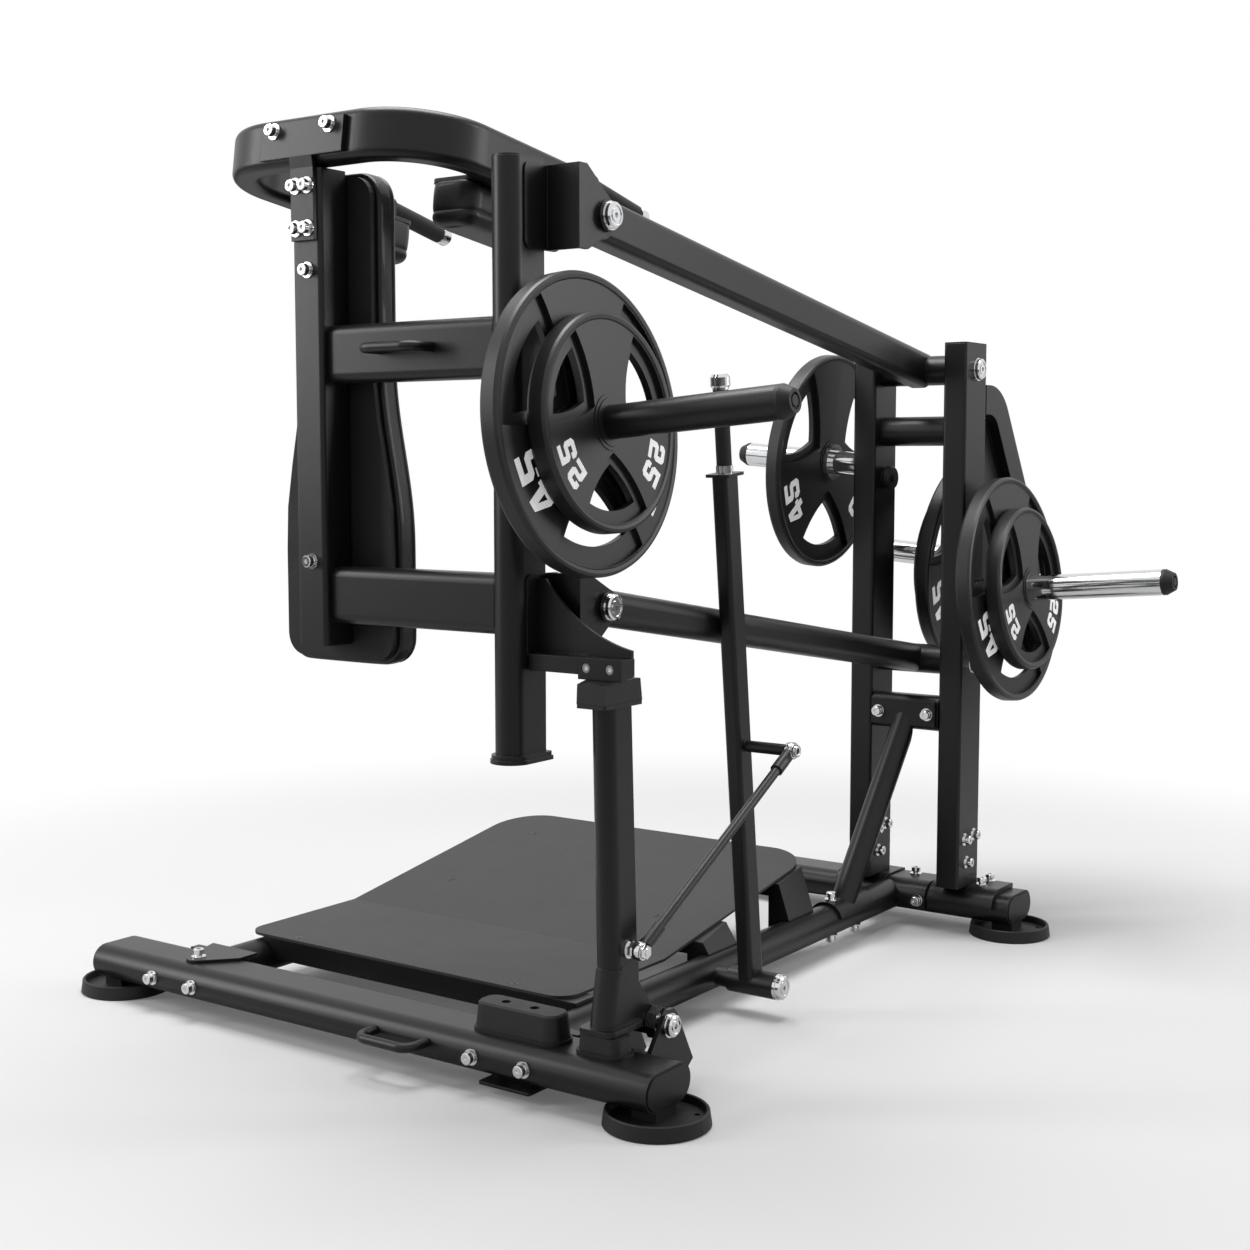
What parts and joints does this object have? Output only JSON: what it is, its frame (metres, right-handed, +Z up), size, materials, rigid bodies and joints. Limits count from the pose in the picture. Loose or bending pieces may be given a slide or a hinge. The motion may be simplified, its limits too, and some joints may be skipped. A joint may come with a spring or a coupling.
{
  "type": "standing leg press machine",
  "caption": "Plate-loaded standing leg press: shoulder carriage on two parallel links over a fixed foot plate, held up by a folding prop with a release lever.",
  "frame": {"origin": "middle of the overall box at floor level", "axes": "+X across towards the loading side, +Y from the front beam to the rear beam, +Z up"},
  "size_m": [1.607, 1.992, 1.5249],
  "materials": {
    "painted_steel": "satin fine texture",
    "foot_plate_coat": "matt grained grip coat",
    "plate_enamel": "satin",
    "chrome": "polished",
    "rubber": "matt",
    "plastic": "fine matt",
    "grip_rubber": "soft matt",
    "vinyl": "glossy vinyl",
    "board": "matt"
  },
  "bodies": {
    "frame": {"front_beam": "painted_steel", "rear_beam": "painted_steel", "tube_caps": "plastic", "feet": "rubber", "side_tubes": "painted_steel", "foot_plate": "foot_plate_coat", "foot_plate_frame": "painted_steel", "foot_plate_screws": "painted_steel", "near_upright": "painted_steel", "far_upright": "painted_steel", "upright_saddles": "painted_steel", "upright_cross_tube": "painted_steel", "brace_cross_member": "painted_steel", "brace_tube": "painted_steel", "frame_bolts": "chrome", "carriage_bumper": "rubber", "front_grab_handle": "painted_steel", "bumper_backing_plate": "painted_steel", "prop_pad": "rubber", "prop_bracket": "painted_steel", "pivot_shafts": "chrome", "storage_horns": "chrome", "horn_caps": "rubber", "rear_storage_arm": "painted_steel", "stop_knob": "rubber", "return_spring": "painted_steel"},
    "upper_link": {"upper_link": "painted_steel"},
    "lower_link": {"lower_link": "painted_steel"},
    "carriage": {"carriage_post": "painted_steel", "link_clevises": "painted_steel", "load_horn": "painted_steel", "load_horn_cap": "rubber", "rest_bracket": "painted_steel", "rest_block": "painted_steel", "cross_tubes": "painted_steel", "carriage_grab_handle": "painted_steel", "back_spine": "painted_steel", "shoulder_frame": "painted_steel", "shoulder_frame_plate": "painted_steel", "carriage_bolts": "chrome", "handle_tubes": "chrome", "handle_grips": "grip_rubber", "pad_brackets": "painted_steel", "shoulder_pads": "vinyl", "back_board": "board", "back_cushion": "vinyl"},
    "prop": {"prop_post": "painted_steel", "prop_cap": "rubber", "prop_stud": "chrome"},
    "lever": {"release_lever": "painted_steel", "lever_handle": "chrome", "lever_grip": "grip_rubber"},
    "rod": {"release_rod": "painted_steel"},
    "load_large": {"load_plate_large": "plate_enamel"},
    "load_small": {"load_plate_small": "plate_enamel"},
    "near_large": {"near_plate_large": "plate_enamel"},
    "near_small": {"near_plate_small": "plate_enamel"},
    "far_large": {"far_plate_large": "plate_enamel"},
    "rear_large": {"rear_plate_large": "plate_enamel"},
    "rear_small": {"rear_plate_small": "plate_enamel"}
  },
  "joints": [
    {"name": "upper_link_swing", "type": "hinge", "parent": "frame", "child": "upper_link", "pos_m": [0.26351, 0.4843, 1.1592], "axis": [-1, 0, 0], "range_deg": [0, 12]},
    {"name": "lower_link_swing", "type": "hinge", "parent": "frame", "child": "lower_link", "pos_m": [0.26351, 0.4843, 0.5659], "axis": [-1, 0, 0], "range_deg": [0, 12]},
    {"name": "carriage_pivot", "type": "hinge", "parent": "upper_link", "child": "carriage", "pos_m": [0.26351, -0.668, 1.3444], "axis": [-1, 0, 0], "range_deg": [-12, 0]},
    {"name": "prop_swing", "type": "hinge", "parent": "frame", "child": "prop", "pos_m": [0.36851, -0.681, 0.116], "axis": [-1, 0, 0], "range_deg": [0, 14], "stiffness_Nm_per_rad": 8, "springref_deg": -17.19},
    {"name": "lever_swing", "type": "hinge", "parent": "frame", "child": "lever", "pos_m": [0.30751, -0.248, 0.059], "axis": [-1, 0, 0], "range_deg": [0, 5]},
    {"name": "rod_pivot", "type": "hinge", "parent": "lever", "child": "rod", "pos_m": [0.41052, -0.292, 0.487], "axis": [-1, 0, 0], "range_deg": [-3.9, 0]},
    {"name": "load_large_slide", "type": "slide", "parent": "carriage", "child": "load_large", "axis": [0.9965, 0, 0.0837], "range_m": [0, 0.25]},
    {"name": "load_small_slide", "type": "slide", "parent": "load_large", "child": "load_small", "axis": [0.9965, 0, 0.0837], "range_m": [0, 0.28]},
    {"name": "near_large_slide", "type": "slide", "parent": "frame", "child": "near_large", "axis": [0.9965, 0, 0.0837], "range_m": [0, 0.22]},
    {"name": "near_small_slide", "type": "slide", "parent": "near_large", "child": "near_small", "axis": [0.9965, 0, 0.0837], "range_m": [0, 0.26]},
    {"name": "far_large_slide", "type": "slide", "parent": "frame", "child": "far_large", "axis": [-0.9965, 0, 0.0837], "range_m": [0, 0.16]},
    {"name": "rear_large_slide", "type": "slide", "parent": "frame", "child": "rear_large", "axis": [-0.9965, 0, 0.0837], "range_m": [0, 0.05]},
    {"name": "rear_small_slide", "type": "slide", "parent": "rear_large", "child": "rear_small", "axis": [-0.9965, 0, 0.0837], "range_m": [0, 0.05]}
  ],
  "couplings": [
    {"joint": "lower_link_swing", "follows": "upper_link_swing", "ratio": 1},
    {"joint": "carriage_pivot", "follows": "upper_link_swing", "ratio": -1},
    {"joint": "lever_swing", "follows": "prop_swing", "ratio": 0.354},
    {"joint": "rod_pivot", "follows": "prop_swing", "ratio": -0.273}
  ]
}
